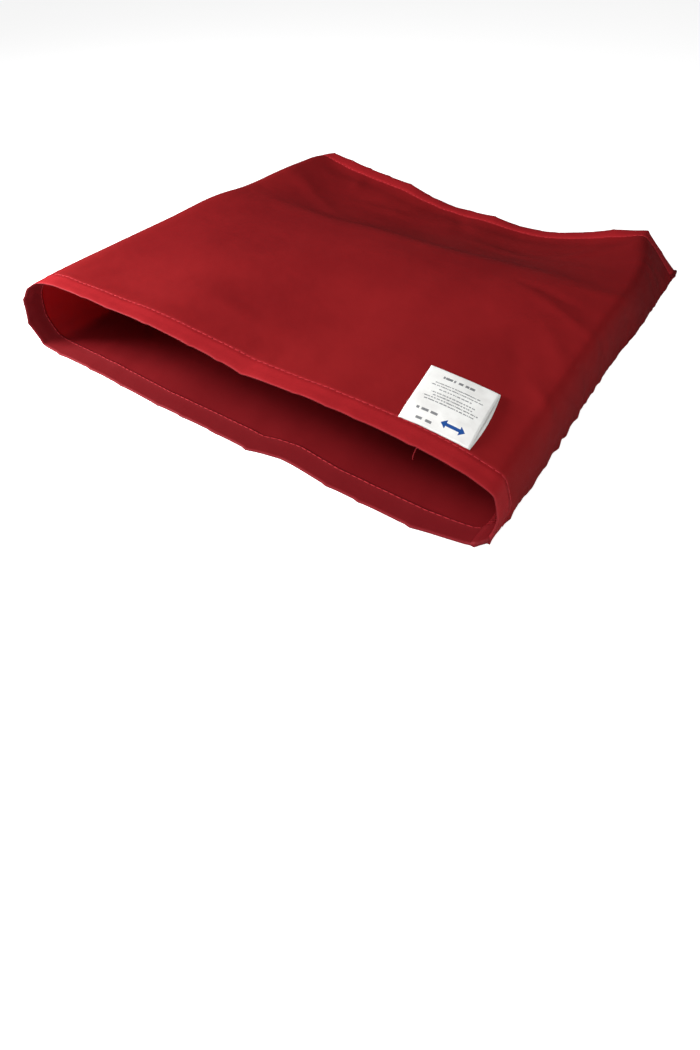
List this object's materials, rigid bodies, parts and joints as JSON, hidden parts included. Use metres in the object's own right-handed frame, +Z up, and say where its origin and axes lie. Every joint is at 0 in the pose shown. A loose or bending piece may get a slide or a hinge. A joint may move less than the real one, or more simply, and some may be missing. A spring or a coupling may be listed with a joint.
{
  "type": "tubular slide sheet",
  "caption": "Short tubular slide sheet of thin coated nylon, open at both ends, with turned and stitched hems, an overlocked side seam and a folded label.",
  "frame": {"origin": "on the surface that the sheet lies on, at the middle of its bounding box", "axes": "+X across the tube, the way it rolls; +Y from the front mouth to the rear mouth; +Z up"},
  "size_m": [0.4632, 0.45, 0.077],
  "materials": {
    "nylon_cloth": "thin slippery coated plain-weave nylon, deep red, soft sheen",
    "thread": "spun polyester sewing thread, red",
    "label_tape": "white woven satin tape"
  },
  "bodies": {
    "lower_layer": {"lower_panel": "nylon_cloth", "front_hem_lower": "nylon_cloth", "rear_hem_lower": "nylon_cloth", "front_hem_stitching_lower": "thread", "rear_hem_stitching_lower": "thread"},
    "upper_layer": {"upper_panel": "nylon_cloth", "front_hem_upper": "nylon_cloth", "rear_hem_upper": "nylon_cloth", "front_hem_stitching_upper": "thread", "rear_hem_stitching_upper": "thread", "label_anchor": "label_tape", "label_stitching": "thread"},
    "left_fold_roll": {"left_fold": "nylon_cloth", "front_hem_left": "nylon_cloth", "rear_hem_left": "nylon_cloth", "front_hem_stitching_left": "thread", "rear_hem_stitching_left": "thread"},
    "seam_side_roll": {"right_fold": "nylon_cloth", "front_hem_right": "nylon_cloth", "rear_hem_right": "nylon_cloth", "front_hem_stitching_right": "thread", "rear_hem_stitching_right": "thread", "side_seam_allowance": "nylon_cloth", "side_seam_stitching": "thread", "side_seam_overlock": "thread"},
    "label_loop": {"label_flap": "label_tape"}
  },
  "joints": [
    {"name": "upper_glide", "type": "slide", "parent": "lower_layer", "child": "upper_layer", "axis": [1, 0, 0], "range_m": [-0.04, 0.04]},
    {"name": "left_fold_glide", "type": "slide", "parent": "lower_layer", "child": "left_fold_roll", "axis": [1, 0, 0], "range_m": [-0.02, 0.02]},
    {"name": "seam_side_glide", "type": "slide", "parent": "lower_layer", "child": "seam_side_roll", "axis": [1, 0, 0], "range_m": [-0.02, 0.02]},
    {"name": "label_flip", "type": "hinge", "parent": "upper_layer", "child": "label_loop", "pos_m": [0.1533, -0.2035, 0.05636], "axis": [1, 0, 0], "range_deg": [0, 165]}
  ],
  "couplings": [
    {"joint": "left_fold_glide", "follows": "upper_glide", "ratio": 0.5},
    {"joint": "seam_side_glide", "follows": "upper_glide", "ratio": 0.5}
  ]
}
